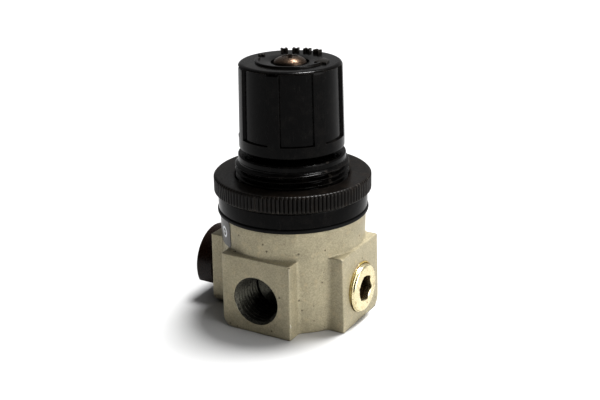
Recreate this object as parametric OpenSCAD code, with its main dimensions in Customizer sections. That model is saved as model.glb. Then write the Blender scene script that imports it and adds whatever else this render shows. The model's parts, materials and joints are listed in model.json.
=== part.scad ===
// Small air pressure regulator with a push-to-lock knob and a panel ring nut.
// The origin is the centre of the flat underside, on the spindle axis, and +Z runs up
// the spindle. Air enters the port on the -Y side and leaves by the port on the +Y side.
// The +X gauge port holds a socket plug. The -X gauge port holds a round cap with one flat.

/* [Body] */
// Distance across opposite port faces
across_faces = 40; // [39:0.5:42]
// Radius of the round body at its top edge
body_top_r = 19.35; // [19.2:0.05:19.6]
// Radius of the round body at its underside
body_base_r = 18.7; // [18.3:0.1:19.2]
// Height of the body
body_h = 28.45; // [28.25:0.05:28.6]
// Width of each port boss
boss_w = 20.4; // [20:0.1:22]
// Height of each port boss
boss_h = 20.7; // [19:0.1:22]
// How much further each port face stands out at its foot than at its top
boss_draft = 0.4; // [0:0.1:0.8]
// Radius of the rounded foot corner on each boss
boss_corner_r = 3.2; // [1:0.1:4]

/* [Ports] */
// Height of the port axes
port_z = 9.1; // [9:0.1:9.5]
// Wall radius of each port, the major radius of a G1/4 thread
port_r = 6.6; // [6.55:0.05:6.7]
// Depth of each port
port_depth = 10.5; // [9.5:0.1:10.8]
// Radius of the port cap's head
cap_r = 9.75; // [9.5:0.05:9.8]
// How far the port cap's head stands out
cap_len = 6.3; // [5:0.1:9]
// Distance of the flat on the port cap's head from the port's axis
cap_flat = 7; // [6.9:0.05:7]
// How far the socket plug stands out
plug_out = 1.6; // [0.4:0.1:2]
// Width across the flats of the plug's socket
plug_socket_af = 6.5; // [5:0.5:7]

/* [Bonnet] */
// Thickness of the gasket ring between body and bonnet
gasket_h = 1.1; // [1:0.1:1.2]
// Outer radius of the gasket ring
gasket_r = 20.05; // [19.5:0.05:20.5]
// Outer radius of the bonnet flange
flange_r = 19.8; // [19:0.1:20.5]
// Thickness of the bonnet flange
flange_h = 4.3; // [4:0.1:4.3]
// Radius of the panel thread, M30
panel_thread_r = 15; // [14.9:0.05:15.1]
// Outer radius of the knurled panel nut
nut_r = 20.8; // [18:0.1:22]
// Height of the knurled panel nut
nut_h = 4.75; // [4:0.05:4.8]

/* [Knob] */
// Height of the knob's lower edge above the underside, knob pulled up
knob_z = 45.9; // [45.85:0.05:46]
// Overall height of the knob
knob_h = 22.2; // [21.5:0.05:22.5]
// Radius of the knob where its panels begin
knob_base_r = 13.8; // [13.5:0.1:14.2]
// Radius of the knob at its top
knob_top_r = 13.4; // [13:0.1:13.6]
// Number of grip panels round the knob
panel_count = 7; // [5:1:9]
// Angle that one grip panel covers
panel_angle = 37; // [30:1:38]
// Depth of a grip panel
panel_depth = 0.7; // [0.4:0.1:1]
// How far the knob is pushed down to lock it
lock_travel = 1.5; // [1:0.1:1.5]

/* [Adjustment] */
// Radius of the spindle's left-hand thread, M8
spindle_r = 3.95; // [3.9:0.01:3.96]
// Mean radius of the range spring
spring_r = 8.4; // [8.2:0.1:8.8]
// Wire radius of the range spring
spring_wire_r = 0.9; // [0.7:0.1:0.9]
// Number of turns in the range spring
spring_turns = 4.5; // [4:0.5:5]

/* [Hidden] */
$fn = 96;

eps = 0.01;           // overlap of a cutter past the face it opens
run = 0.05;           // radial clearance of a running fit
seat_gap = 0.02;      // gap between parts that only touch

face = across_faces / 2;
port_end = face - port_depth;

// Heights, from the underside up
cap_bore_r = 7.5;
cap_h = 4.6;
chamber_r = 5.5;
seat_z = 11;
seat_r = 5;
seat_h = 2;
throat_r = 3.2;
floor_z = 17.6;
sense_r = 14;
ledge_z = 20.2;
skirt_r = 16.45;
rim_h = 1.5;
clamp_h = 0.8;
skirt_z = ledge_z + rim_h + clamp_h;
flange_z = body_h + gasket_h;
neck_z = flange_z + flange_h;
thread_z = neck_z + nut_h + 0.1;
thread_top = 43;
band_r = 14.15;
neck_top = 44.3;
ceiling_z = 42;
bonnet_bore_r = 11.8;
stem_r = 1.2;
stud_r = 2.4;
web_h = 0.8;
plate_h = 0.8;
plate_r = 10.5;
guide_r = 4.2;
guide_floor = 2;
guide_top = 5.6;
oring_z = 4;
cap_seal_z = 3.6;
poppet_r = 4.3;
poppet_foot = 7.2;
poppet_shoulder = 8;
poppet_top = 10.3;
stud_z = ledge_z - plate_h - 0.5;
plate_z = ledge_z + web_h;
spring_z = plate_z + 1;
spring_guide_r = spring_r - spring_wire_r - 0.3;
stud_top = spring_z + 2.2;
spring_top = 36;
collar_r = 8.2;
collar_top = 48;
journal_r = 4.2;
hex_af = 7;
spindle_top = knob_z + knob_h - 1.1;
tooth_count = 24;
tooth_angle = 6;
lug_w = 3.6;
lug_h = 2;
lug_count = 3;
slot_low = skirt_z + 2;
clip_groove_r = 3.4;
thrust_r = 7;
washer_z = ceiling_z - 0.8;
screw_r = 2;
screw_hole_depth = 9.5;
face_tilt = atan(boss_draft / boss_h);
shank = 6.5;          // length of plug and cap inside their ports
cap_turn = 202;       // direction of the cap's flat, 180 being straight down
panel_pitch = 360 / panel_count;
first_panel = -105;   // angle of the first grip panel, from +X

function hex_r(af) = af / (2 * cos(30));
function body_r(z) = body_base_r + (body_top_r - body_base_r) * z / body_h;

// ---------- shared shapes ----------

// A ring from radius a to radius b, between heights z0 and z1
module ring(a, b, z0, z1) {
    translate([0, 0, z0]) difference() {
        cylinder(r = b, h = z1 - z0);
        translate([0, 0, -eps]) cylinder(r = a, h = z1 - z0 + 2 * eps);
    }
}

// A plain disc of radius r between heights z0 and z1
module disc(r, z0, z1) {
    translate([0, 0, z0]) cylinder(r = r, h = z1 - z0);
}

// A toroidal seal
module seal_ring(mean_r, section_r, z) {
    translate([0, 0, z]) rotate_extrude() translate([mean_r, 0]) circle(r = section_r);
}

// Turns a part that is drawn along +Z so that it points outwards along +X or -X
module along_x(side) {
    translate([0, 0, port_z]) rotate([0, 90 * side, 0]) children();
}

// A coil spring standing on z0, swept as one tube round a helix
module coil(mean_r, wire_r, turns, z0, z1, sides, steps_per_turn) {
    steps = round(turns * steps_per_turn);
    rise = z1 - z0 - 2 * wire_r;
    points = [
        for (i = [0 : steps], j = [0 : sides - 1])
            let (
                turn = 360 * turns * i / steps,
                around = 360 * j / sides,
                r = mean_r + wire_r * cos(around),
                z = z0 + wire_r + rise * i / steps + wire_r * sin(around)
            )
            [r * cos(turn), r * sin(turn), z]
    ];
    walls = [
        for (i = [0 : steps - 1], j = [0 : sides - 1])
            let (k = (j + 1) % sides)
            [i * sides + j, (i + 1) * sides + j, (i + 1) * sides + k, i * sides + k]
    ];
    first_end = [for (j = [0 : sides - 1]) j];
    last_end = [for (j = [sides - 1 : -1 : 0]) steps * sides + j];
    polyhedron(points = points, faces = concat(walls, [first_end, last_end]), convexity = 10);
}

// ---------- body and ports ----------

// One port boss, standing out along -Y, with one foot corner rounded
module boss(round_left) {
    half = boss_w / 2;
    side = round_left ? -1 : 1;
    intersection() {
        rotate([90, 0, 0]) linear_extrude(height = face + boss_draft + 1) difference() {
            translate([-half, 0]) square([boss_w, boss_h]);
            translate([side * (half - boss_corner_r), boss_corner_r]) difference() {
                translate([side > 0 ? 0 : -boss_corner_r - 1, -boss_corner_r - 1])
                    square(boss_corner_r + 1);
                circle(r = boss_corner_r);
            }
        }
        rotate([90, 0, 90]) linear_extrude(height = boss_w, center = true)
            polygon([[0, 0], [-face - boss_draft, 0], [-face, boss_h], [0, boss_h]]);
    }
}

module body_shell() {
    cylinder(r1 = body_base_r, r2 = body_top_r, h = body_h);
    for (a = [0, 180]) rotate(a) boss(true);
    for (a = [90, 270]) rotate(a) boss(false);
}

// The bore of one port, opening on the -Y side, with its mouth chamfer
module port_bore() {
    mouth = face + boss_draft + 1;
    translate([0, -port_end, port_z]) rotate([90, 0, 0]) cylinder(r = port_r, h = mouth - port_end);
}

module body() {
    inlet_r = 2.6;
    inlet_z = port_z - 1.3;
    riser_r = 2.2;
    gauge_riser_r = 1.5;
    passage_y = port_end + 1.8;
    color([0.72, 0.69, 0.60]) difference() {
        body_shell();
        disc(cap_bore_r + run, -eps, cap_h);
        disc(chamber_r, cap_h - eps, seat_z + eps);
        disc(seat_r, seat_z, seat_z + seat_h);
        disc(throat_r, seat_z + seat_h - eps, floor_z + eps);
        disc(sense_r, floor_z, ledge_z + eps);
        disc(skirt_r + run, ledge_z, body_h + eps);
        for (a = [0 : 90 : 270]) rotate(a) port_bore();
        // inlet passage from the -Y port to the valve chamber
        translate([0, -port_end - eps, inlet_z]) rotate([-90, 0, 0])
            cylinder(r = inlet_r, h = port_end);
        // riser from the +Y port to the sensing chamber, and two from the gauge ports
        translate([0, passage_y, port_z]) cylinder(r = riser_r, h = floor_z - port_z + eps);
        for (side = [-1, 1]) translate([side * passage_y, 0, port_z])
            cylinder(r = gauge_riser_r, h = floor_z - port_z + eps);
    }
}

module gauge_port_plug() {
    socket_depth = 3.9;
    socket_turn = 15;
    bevel = 0.5;
    out = face + plug_out;
    r = port_r - seat_gap;
    color([0.80, 0.74, 0.55]) along_x(1) difference() {
        rotate_extrude() polygon([
            [0, face - shank], [r - bevel, face - shank], [r, face - shank + bevel],
            [r, out - bevel], [r - bevel, out], [0, out]
        ]);
        translate([0, 0, out - socket_depth]) rotate(socket_turn)
            cylinder(r = hex_r(plug_socket_af), h = socket_depth + eps, $fn = 6);
    }
}

// Dried sealant squeezed out round the upper and outer side of the plug
module plug_sealant() {
    port_face = face + boss_draft * (1 - port_z / boss_h);
    inner = port_r + seat_gap;
    width = 0.68;
    thick = 0.55;
    start = 110;
    sweep = 190;
    color([0.75, 0.58, 0.15]) translate([port_face + seat_gap, 0, port_z])
        rotate([0, 90 - face_tilt, 0]) rotate(start) rotate_extrude(angle = sweep)
            polygon([[inner, 0], [inner + width, 0], [inner + width * 0.6, thick * 0.6], [inner, thick]]);
}

// Everything further than reach from the port's axis on the side of the cap's flat
module past_flat(reach) {
    size = 2 * cap_r;
    rotate(cap_turn) translate([reach, -cap_r, face]) cube(size);
}

module port_cap() {
    recess = 0.8;
    bevel = 0.5;
    dome = 0.3;
    edge = 0.5;
    taper = 0.15;
    flat_r = 1.5;
    hollow_r = 3.5;
    hollow_depth = 8;
    shank_r = port_r - seat_gap;
    rim_r = cap_r - bevel;
    end_r = cap_r - taper;
    color([0.10, 0.08, 0.07]) along_x(-1) difference() {
        translate([0, 0, face]) rotate_extrude() polygon([
            [0, -shank], [shank_r - bevel, -shank], [shank_r, -shank + bevel], [shank_r, recess],
            [rim_r, recess], [rim_r, boss_draft], [cap_r, boss_draft],
            [end_r, cap_len - dome - edge], [end_r - edge, cap_len - dome],
            [cap_r / 2, cap_len - dome / 4], [flat_r, cap_len], [0, cap_len]
        ]);
        translate([0, 0, face - shank - eps]) cylinder(r = hollow_r, h = hollow_depth);
        past_flat(cap_flat);
    }
}

module port_cap_seal() {
    color([0.05, 0.05, 0.05]) along_x(-1) difference() {
        ring(port_r + run, cap_r - 0.7, face + boss_draft, face + 0.8);
        past_flat(cap_flat - run);
    }
}

// The label wraps round the -X side of the body, above the boss
module rating_label() {
    low = boss_h + 0.2;
    high = body_h - 0.25;
    thick = 0.12;
    start = 118;
    sweep = 124;
    color([0.75, 0.76, 0.80]) rotate(start) rotate_extrude(angle = sweep) polygon([
        [body_r(low) + seat_gap, low], [body_r(low) + thick, low],
        [body_r(high) + thick, high], [body_r(high) + seat_gap, high]
    ]);
}

// ---------- valve ----------

module bottom_cap() {
    tower_r = 2.4;
    stem_floor = 1;
    groove_low = oring_z - 0.4;
    groove_r = 2;
    seal_low = cap_seal_z - 0.6;
    seal_groove_r = 6.4;
    hole_r = 0.9;
    hole_at = 5.6;
    hole_depth = 1.5;
    color([0.15, 0.15, 0.16]) difference() {
        union() {
            ring(guide_r, cap_bore_r, 0, cap_h);
            disc(guide_r + eps, 0, guide_floor);
            disc(tower_r, guide_floor - eps, guide_top);
        }
        disc(stem_r + run, stem_floor, guide_top + eps);
        ring(stem_r, groove_r, groove_low, groove_low + 0.8);
        ring(seal_groove_r, cap_bore_r + 1, seal_low, seal_low + 1.2);
        for (a = [0, 180]) rotate(a) translate([hole_at, 0, -eps]) cylinder(r = hole_r, h = hole_depth);
    }
}

module bottom_cap_oring() {
    color([0.04, 0.04, 0.04]) seal_ring(6.96, 0.55, cap_seal_z);
}

module stem_oring() {
    color([0.04, 0.04, 0.04]) seal_ring(1.6, 0.37, oring_z);
}

module valve_seat() {
    hole_r = 2.6;
    nose_r = 3.2;
    nose_h = 0.4;
    outer = seat_r - seat_gap;
    color([0.78, 0.62, 0.30]) rotate_extrude() polygon([
        [hole_r, seat_z], [nose_r, seat_z], [nose_r + nose_h, seat_z + nose_h], [outer, seat_z + nose_h],
        [outer, seat_z + seat_h], [hole_r, seat_z + seat_h]
    ]);
}

module valve_stem() {
    foot = 2;
    tip_r = 0.8;
    tip_h = 0.6;
    color([0.70, 0.70, 0.72]) {
        disc(stem_r, foot, stud_z - tip_h);
        translate([0, 0, stud_z - tip_h]) cylinder(r1 = stem_r, r2 = tip_r, h = tip_h - seat_gap);
    }
}

module valve_poppet() {
    color([0.78, 0.62, 0.30]) difference() {
        union() {
            disc(2.5, poppet_foot, poppet_shoulder);
            disc(poppet_r, poppet_shoulder - eps, poppet_top);
        }
        disc(stem_r, poppet_foot - eps, poppet_top + eps);
    }
}

module poppet_seal() {
    color([0.05, 0.05, 0.05]) ring(stem_r, poppet_r - 0.3, poppet_top, seat_z - seat_gap);
}

module valve_spring() {
    color([0.65, 0.65, 0.67]) coil(3.3, 0.35, 5.5, guide_floor, poppet_shoulder, 6, 20);
}

// ---------- diaphragm ----------

module diaphragm() {
    roll_r = 12.6;
    roll_out = 1.5;
    roll_in = roll_out - web_h;
    rim_r = roll_r + roll_out + 0.1;
    web_top = ledge_z + web_h;
    color([0.12, 0.11, 0.10]) rotate_extrude() polygon(concat(
        [[stud_r + run, ledge_z]],
        [for (a = [180 : -15 : 0]) [roll_r + roll_in * cos(a), ledge_z + roll_in * sin(a)]],
        [[skirt_r, ledge_z], [skirt_r, ledge_z + rim_h], [rim_r, ledge_z + rim_h], [rim_r, web_top]],
        [for (a = [35 : 11 : 145]) [roll_r + roll_out * cos(a), ledge_z + roll_out * sin(a)]],
        [[plate_r + 0.4, web_top], [stud_r + run, web_top]]
    ));
}

module diaphragm_lower_plate() {
    color([0.70, 0.70, 0.72]) ring(stud_r, plate_r, ledge_z - plate_h, ledge_z);
}

module diaphragm_upper_plate() {
    color([0.70, 0.70, 0.72]) {
        ring(stud_r, plate_r, plate_z, spring_z);
        ring(5.6, spring_guide_r, spring_z - eps, spring_z + 0.7);
    }
}

module relief_stud() {
    head_r = 4;
    vent_r = 0.9;
    color([0.78, 0.62, 0.30]) difference() {
        union() {
            disc(head_r, stud_z, ledge_z - plate_h);
            disc(stud_r, ledge_z - plate_h - eps, stud_top);
        }
        disc(vent_r, stud_z - eps, stud_top + eps);
    }
}

module diaphragm_nut() {
    af = 8;
    h = 2;
    color([0.70, 0.70, 0.72]) difference() {
        translate([0, 0, spring_z]) cylinder(r = hex_r(af), h = h, $fn = 6);
        disc(stud_r, spring_z - eps, spring_z + h + eps);
    }
}

module diaphragm_clamp_ring() {
    color([0.75, 0.75, 0.72]) ring(sense_r + 0.2, skirt_r, ledge_z + rim_h, skirt_z);
}

// ---------- bonnet and adjustment ----------

// A ring of locking teeth between two radii
module teeth(a, b, z0, z1, shift) {
    for (i = [0 : tooth_count - 1]) rotate(i * 360 / tooth_count + shift - tooth_angle / 2)
        translate([0, 0, z0]) rotate_extrude(angle = tooth_angle)
            translate([a, 0]) square([b - a, z1 - z0]);
}

module bonnet_gasket() {
    color([0.03, 0.03, 0.03]) ring(skirt_r + run, gasket_r, body_h, flange_z);
}

module bonnet() {
    relief_r = panel_thread_r - 0.4;
    slope_top = thread_top + 0.7;
    tooth_h = 1.8;
    slot_w = lug_w + 0.4;
    color([0.06, 0.06, 0.06]) difference() {
        union() {
            rotate_extrude() polygon([
                [sense_r, skirt_z], [skirt_r, skirt_z], [skirt_r, flange_z], [flange_r - 0.2, flange_z],
                [flange_r, flange_z + 0.2], [flange_r, neck_z - 0.4], [flange_r - 0.4, neck_z],
                [relief_r, neck_z], [relief_r, thread_z], [panel_thread_r, thread_z],
                [panel_thread_r, thread_top], [band_r + 0.3, slope_top],
                [band_r, slope_top], [band_r, neck_top - 0.4], [band_r - 0.4, neck_top],
                [collar_r, neck_top], [collar_r, collar_top], [journal_r + run, collar_top],
                [journal_r + run, ceiling_z], [bonnet_bore_r, ceiling_z],
                [bonnet_bore_r, slot_low], [sense_r, slot_low]
            ]);
            teeth(collar_r - 0.2, collar_r + 0.8, collar_top - tooth_h, collar_top, 0);
        }
        // slots that keep the adjusting nut from turning
        for (i = [0 : lug_count - 1]) rotate(i * 360 / lug_count)
            translate([bonnet_bore_r - 1, -slot_w / 2, slot_low - eps])
                cube([2.1, slot_w, ceiling_z - 2 - slot_low]);
    }
}

module range_spring() {
    color([0.60, 0.60, 0.62])
        coil(spring_r, spring_wire_r, spring_turns, spring_z, spring_top, 8, 24);
}

module adjusting_nut() {
    low = spring_top - 1.2;
    top = spring_top + 3.5;
    boss_r = 6.5;
    lug_from = 8;
    lug_to = 12.6;
    color([0.78, 0.62, 0.30]) difference() {
        union() {
            disc(spring_guide_r, low, spring_top + eps);
            disc(bonnet_bore_r - 0.8, spring_top, spring_top + lug_h);
            disc(boss_r, spring_top + lug_h - eps, top);
            for (i = [0 : lug_count - 1]) rotate(i * 360 / lug_count)
                translate([lug_from, -lug_w / 2, spring_top]) cube([lug_to - lug_from, lug_w, lug_h]);
        }
        disc(spindle_r + run, low - eps, top + eps);
    }
}

module adjusting_spindle() {
    foot = 26;
    flange_low = ceiling_z - 2.2;
    groove_low = collar_top + 0.15;
    groove_top = collar_top + 0.95;
    color([0.72, 0.68, 0.55]) difference() {
        union() {
            disc(spindle_r, foot, flange_low + eps);
            disc(thrust_r, flange_low, washer_z);
            disc(journal_r, washer_z - eps, groove_low);
            disc(clip_groove_r, groove_low - eps, groove_top + eps);
            translate([0, 0, groove_top])
                cylinder(r = hex_r(hex_af), h = spindle_top - groove_top, $fn = 6);
        }
        disc(screw_r + seat_gap, spindle_top - screw_hole_depth, spindle_top + eps);
    }
}

module thrust_washer() {
    color([0.85, 0.83, 0.75]) ring(journal_r + run, thrust_r, washer_z + seat_gap, ceiling_z);
}

module spindle_clip() {
    color([0.30, 0.30, 0.32]) rotate(30) rotate_extrude(angle = 300)
        translate([clip_groove_r + seat_gap, collar_top + 0.2]) square([2.4, 0.7]);
}

// ---------- knob ----------

knob_top = knob_z + knob_h;
panel_low = knob_z + 3.2;
panel_high = knob_top - 0.75;
hub_r = 6.2;
hub_low = collar_top + lock_travel + 1.1;
spline_low = collar_top + 0.3;
spline_in = collar_r + 1.1;
cavity_r = 11.3;
cavity_top = knob_top - 3.3;

// Side profile, with a bevelled foot, a plain skirt and a rounded top edge
module knob_outline() {
    edge = 1.2;
    bevel = 0.4;
    rotate_extrude() polygon(concat(
        [[0, knob_z], [knob_base_r - bevel, knob_z], [knob_base_r, knob_z + bevel],
         [knob_base_r, panel_low - bevel]],
        [for (a = [0 : 15 : 90]) [knob_top_r - edge + edge * cos(a), knob_top - edge + edge * sin(a)]],
        [[0, knob_top]]
    ));
}

// Raised marks on the knob's top: an arc with an arrow head, and plain index blocks
module knob_marks() {
    sink = 0.05;
    arc_r = 8.1;
    arc_w = 0.9;
    arc_h = 0.5;
    arc_start = 190;
    arc_angle = 172;
    block_w = 1.8;
    block_l = 1.6;
    block_h = 0.95;
    block_in = 10.1;
    block_first = 79;
    block_step = 16.4;
    translate([0, 0, knob_top - sink]) {
        rotate(arc_start) rotate_extrude(angle = arc_angle) translate([arc_r, 0]) square([arc_w, arc_h]);
        rotate(arc_start + arc_angle) translate([arc_r + arc_w / 2, -sink, 0])
            linear_extrude(height = arc_h) polygon([[-1.6, 0], [1.7, 0], [1, 3.2], [-1.4, 5.4]]);
        for (i = [0 : 3]) rotate(block_first + i * block_step)
            translate([block_in, -block_w / 2, 0]) cube([block_l, block_w, block_h]);
    }
}

module knob() {
    web_top = cavity_top + eps;
    web_w = 1.2;
    spline_h = 2;
    recess_r = 4.9;
    color([0.05, 0.05, 0.05]) {
        difference() {
            union() {
                difference() {
                    knob_outline();
                    disc(cavity_r, knob_z - eps, cavity_top);
                    for (i = [0 : panel_count - 1])
                        rotate(first_panel + i * panel_pitch - panel_angle / 2)
                            rotate_extrude(angle = panel_angle)
                                translate([knob_top_r - panel_depth + 0.1, panel_low])
                                    square([3, panel_high - panel_low]);
                }
                ring(spline_in, cavity_r + eps, spline_low, spline_low + spline_h);
                teeth(collar_r + 0.3, spline_in + 0.2, spline_low, spline_low + spline_h, 180 / tooth_count);
                disc(hub_r, hub_low, web_top);
                for (i = [0 : panel_count - 1]) rotate(i * panel_pitch)
                    translate([hub_r - 1, -web_w / 2, hub_low + 1])
                        cube([cavity_r - hub_r + 1.2, web_w, web_top - hub_low - 1]);
            }
            translate([0, 0, hub_low - 1])
                cylinder(r = hex_r(hex_af + 0.2), h = knob_top - hub_low, $fn = 6);
            disc(recess_r, spindle_top - run, knob_top + 1);
        }
        knob_marks();
    }
}

// Domed screw with a cross recess, which stops the knob from coming off the spindle
module knob_screw() {
    head_r = 4.3;
    head_h = 2.5;
    lip = 0.6;
    screw_len = 9;
    slot_l = 4;
    slot_w = 0.9;
    slot_z = spindle_top + 1.1;
    turn = 30;
    color([0.30, 0.22, 0.17]) difference() {
        union() {
            disc(screw_r, spindle_top - screw_len, spindle_top + eps);
            rotate_extrude() polygon(concat(
                [[0, spindle_top], [head_r, spindle_top]],
                [for (a = [0 : 10 : 90])
                    [head_r * cos(a), spindle_top + lip + (head_h - lip) * sin(a)]]
            ));
        }
        for (a = [0, 90]) rotate(a + turn) translate([-slot_l / 2, -slot_w / 2, slot_z])
            cube([slot_l, slot_w, head_h]);
    }
}

// The ring nut that clamps the bonnet in a panel
module panel_nut() {
    top = neck_z + nut_h;
    low = neck_z + seat_gap;
    bore_r = panel_thread_r + run;
    foot_bevel = 0.35;
    top_bevel = 0.5;
    color([0.08, 0.07, 0.06]) rotate_extrude() polygon([
        [bore_r, low], [nut_r - foot_bevel, low], [nut_r, low + foot_bevel],
        [nut_r, top - top_bevel], [nut_r - top_bevel, top], [bore_r, top]
    ]);
}

body();
bottom_cap();
bottom_cap_oring();
valve_seat();
valve_stem();
valve_poppet();
poppet_seal();
stem_oring();
valve_spring();
diaphragm();
diaphragm_lower_plate();
relief_stud();
diaphragm_upper_plate();
diaphragm_nut();
diaphragm_clamp_ring();
bonnet_gasket();
bonnet();
range_spring();
adjusting_nut();
adjusting_spindle();
thrust_washer();
spindle_clip();
knob();
knob_screw();
panel_nut();
gauge_port_plug();
plug_sealant();
port_cap();
port_cap_seal();
rating_label();
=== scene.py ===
import json
import math
import random

import bmesh
import bpy
from mathutils import Matrix, Vector


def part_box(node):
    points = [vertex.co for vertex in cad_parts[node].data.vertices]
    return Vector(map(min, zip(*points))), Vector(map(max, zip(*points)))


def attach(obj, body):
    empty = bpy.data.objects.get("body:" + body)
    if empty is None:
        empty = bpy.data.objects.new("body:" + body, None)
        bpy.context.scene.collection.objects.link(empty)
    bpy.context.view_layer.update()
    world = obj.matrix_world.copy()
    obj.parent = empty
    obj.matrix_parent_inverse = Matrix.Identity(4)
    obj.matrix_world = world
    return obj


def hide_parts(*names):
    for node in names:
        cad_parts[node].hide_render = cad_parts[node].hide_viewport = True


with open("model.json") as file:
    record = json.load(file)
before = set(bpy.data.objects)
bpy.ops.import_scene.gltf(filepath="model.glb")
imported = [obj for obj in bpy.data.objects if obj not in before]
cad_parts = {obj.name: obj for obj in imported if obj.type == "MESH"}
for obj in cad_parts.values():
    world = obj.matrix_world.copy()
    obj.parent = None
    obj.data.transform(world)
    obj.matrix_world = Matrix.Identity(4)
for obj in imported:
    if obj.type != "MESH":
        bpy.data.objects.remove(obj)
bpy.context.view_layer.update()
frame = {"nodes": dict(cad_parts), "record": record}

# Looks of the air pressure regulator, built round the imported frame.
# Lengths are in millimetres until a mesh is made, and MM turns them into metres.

MM = 0.001
UP = Vector((0, 0, 1))

# The sky is bright behind the object and dark in front of it.
WORLD_BRIGHT_SIDE = (0.1, 0.85, 0.5)
WORLD_DARK = 0.03
WORLD_BRIGHT = 9.0
# Each light: the direction it comes from, its strength, and how wide it looks, in degrees.
TOP_LIGHT = ((0.10, 0.31, 0.945), 5.0, 17)
SIDE_LIGHT = ((0.91, -0.10, 0.38), 2.1, 50)


def span(node):
    """Lowest and highest corner of a CAD node, in millimetres."""
    low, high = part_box(node)
    return low / MM, high / MM


def smoothstep(value, low, high):
    t = min(1.0, max(0.0, (value - low) / (high - low)))
    return t * t * (3 - 2 * t)


# ---------------------------------------------------------------- sizes, from the frame

body_high = span("body")[1]
gasket_low, gasket_high = span("bonnet_gasket")
bonnet_low, bonnet_high = span("bonnet")
ring_low, ring_high = span("panel_nut")
knob_low, knob_high = span("knob")
screw_low, screw_high = span("knob_screw")
plug_low, plug_high = span("gauge_port_plug")
cap_low, cap_high = span("port_cap")
label_low, label_high = span("rating_label")
bottom_high = span("bottom_cap")[1]

BODY_TOP = body_high.z
BODY_TOP_R = 19.35
BODY_BASE_R = 18.7
BOSS_TOP = 20.7
BOSS_HALF = 10.2
BOSS_DRAFT = 0.4
FACE = body_high.x - BOSS_DRAFT
FOOT_CORNER_R = 3.2
BOTTOM_CAP_R = 7.5
BOTTOM_CAP_TOP = 4.6
CHAMBER_FLOOR = 17.6
BONNET_SEAT = 20.2
MAIN_BORE_R = 16.5
PORT_Z = (plug_low.z + plug_high.z) / 2
PORT_R = (plug_high.z - plug_low.z) / 2
PORT_DEPTH = 10.5
PORT_PITCH = 1.337
PORT_MINOR_R = 5.72
PORT_CHAMFER_SLOPE = 1.0
FLANGE_TOP = ring_low.z
NECK_R = 15.0
NECK_PITCH = 1.5
THREAD_TOP = 42.6
NECK_TOP = 44.3
BAND_R = 14.15
PANEL_COUNT = 7
PANEL_HALF = 18.5
FIRST_PANEL = math.radians(-105)
MARK_HEIGHT = 0.9
SCREW_SHANK = 9.0
KNURLS = 120
SOCKET_WIDTH = 6.5
SOCKET_DEPTH = 3.9
CAP_FLAT = 7.0
CAP_FLAT_TURN = math.radians(202)


def body_radius(z):
    return BODY_BASE_R + (BODY_TOP_R - BODY_BASE_R) * z / BODY_TOP


# ---------------------------------------------------------------- mesh helpers

def add_object(name, data):
    """A new object that holds data, put in the scene."""
    obj = bpy.data.objects.new(name, data)
    bpy.context.scene.collection.objects.link(obj)
    return obj


def make_object(name, verts, faces, sharp=32):
    """A mesh object from points in millimetres, smooth except at edges sharper than sharp degrees."""
    mesh = bpy.data.meshes.new(name)
    mesh.from_pydata([Vector(v) * MM for v in verts], [], faces)
    mesh.validate()
    obj = add_object(name, mesh)
    tidy_mesh(obj, sharp)
    return obj


def tidy_mesh(obj, sharp=32):
    """Welds, points every face outwards and marks the sharp edges."""
    bm = bmesh.new()
    bm.from_mesh(obj.data)
    bmesh.ops.remove_doubles(bm, verts=bm.verts, dist=0.5e-6)
    bmesh.ops.dissolve_degenerate(bm, edges=bm.edges, dist=0.5e-6)
    bmesh.ops.recalc_face_normals(bm, faces=bm.faces)
    bm.to_mesh(obj.data)
    bm.free()
    obj.data.polygons.foreach_set("use_smooth", [True] * len(obj.data.polygons))
    obj.data.set_sharp_from_angle(angle=math.radians(sharp))
    obj.data.update()


def loft(name, rings, closed=False, sharp=32):
    """Skins rings of equal counts of points. closed joins last to first, else both ends are capped."""
    n = len(rings[0])
    count = len(rings)
    verts = [p for ring in rings for p in ring]
    faces = []
    for i in range(count if closed else count - 1):
        a, b = i * n, (i + 1) % count * n
        for j in range(n):
            k = (j + 1) % n
            faces.append((a + j, a + k, b + k, b + j))
    if not closed:
        faces.append(tuple(reversed(range(n))))
        faces.append(tuple(range((count - 1) * n, count * n)))
    return make_object(name, verts, faces, sharp)


def even_angles(count):
    return [2 * math.pi * i / count for i in range(count)]


def lathe(name, profile, angles, shape=None, closed=True, sharp=32):
    """Turns a profile of (radius, height) points round +Z. shape(r, z, angle) may change a radius."""
    rings = []
    for r, z in profile:
        ring = []
        for a in angles:
            radius = shape(r, z, a) if shape else r
            ring.append((radius * math.cos(a), radius * math.sin(a), z))
        rings.append(ring)
    return loft(name, rings, closed, sharp)


def plain_solid(name, rows, count=32):
    """A closed solid turned from rows of (radius, height), with count sides."""
    return lathe(name, rows, even_angles(count), closed=False)


def rounded(points, radius=0.3, steps=4, closed=True):
    """The outline with its corners rounded. A point may carry its own radius as a third value."""
    out = []
    n = len(points)
    for i, point in enumerate(points):
        here = Vector(point[:2])
        size = point[2] if len(point) > 2 else radius
        if size == 0 or (not closed and i in (0, n - 1)):
            out.append(tuple(here))
            continue
        before = Vector(points[i - 1][:2]) - here
        after = Vector(points[(i + 1) % n][:2]) - here
        reach = min(size, before.length * 0.45, after.length * 0.45)
        a = here + before.normalized() * reach
        b = here + after.normalized() * reach
        for k in range(steps + 1):
            t = k / steps
            out.append(tuple(a * (1 - t) ** 2 + here * 2 * t * (1 - t) + b * t * t))
    return out


def turned(obj, matrix):
    obj.data.transform(matrix)
    return obj


def cut(obj, cutters, sharp=32):
    """Takes each cutter out of obj and deletes it."""
    for cutter in cutters:
        modifier = obj.modifiers.new("cut", "BOOLEAN")
        modifier.operation = "DIFFERENCE"
        modifier.solver = "EXACT"
        modifier.object = cutter
        apply_modifiers(obj)
        bpy.data.objects.remove(cutter)
    tidy_mesh(obj, sharp)
    return obj


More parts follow.
